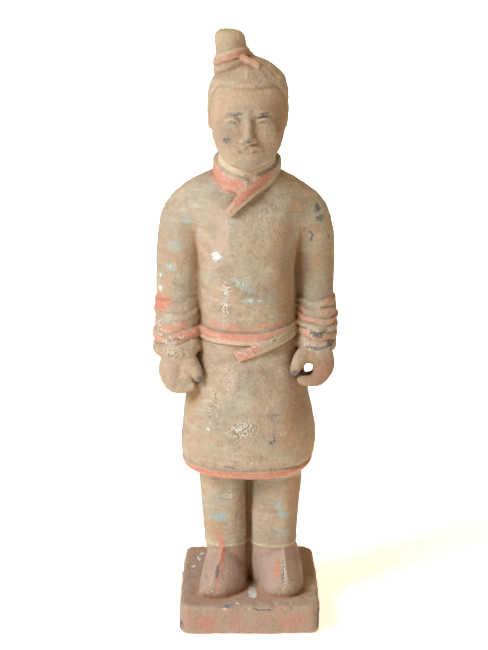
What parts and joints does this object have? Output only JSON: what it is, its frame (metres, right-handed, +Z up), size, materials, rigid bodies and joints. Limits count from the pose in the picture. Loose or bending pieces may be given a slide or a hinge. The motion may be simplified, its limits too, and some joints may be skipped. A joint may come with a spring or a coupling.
{
  "type": "terracotta warrior statue",
  "caption": "Standing robed warrior on a square plinth, made in one hollow piece of fired clay, an ornament with a loose grip through the left fist",
  "frame": {"origin": "centre of the plinth's underside", "axes": "+Z up, -Y the way the figure faces, +X towards the figure's left hand"},
  "size_m": [0.1862, 0.154, 0.6126],
  "materials": {
    "terracotta": "matt unglazed khaki-tan clay with worn salmon paint on the collar, belt, cuffs, hem and shoes, and scattered pale blue-green traces"
  },
  "bodies": {
    "root": {"warrior": "terracotta"}
  },
  "joints": []
}
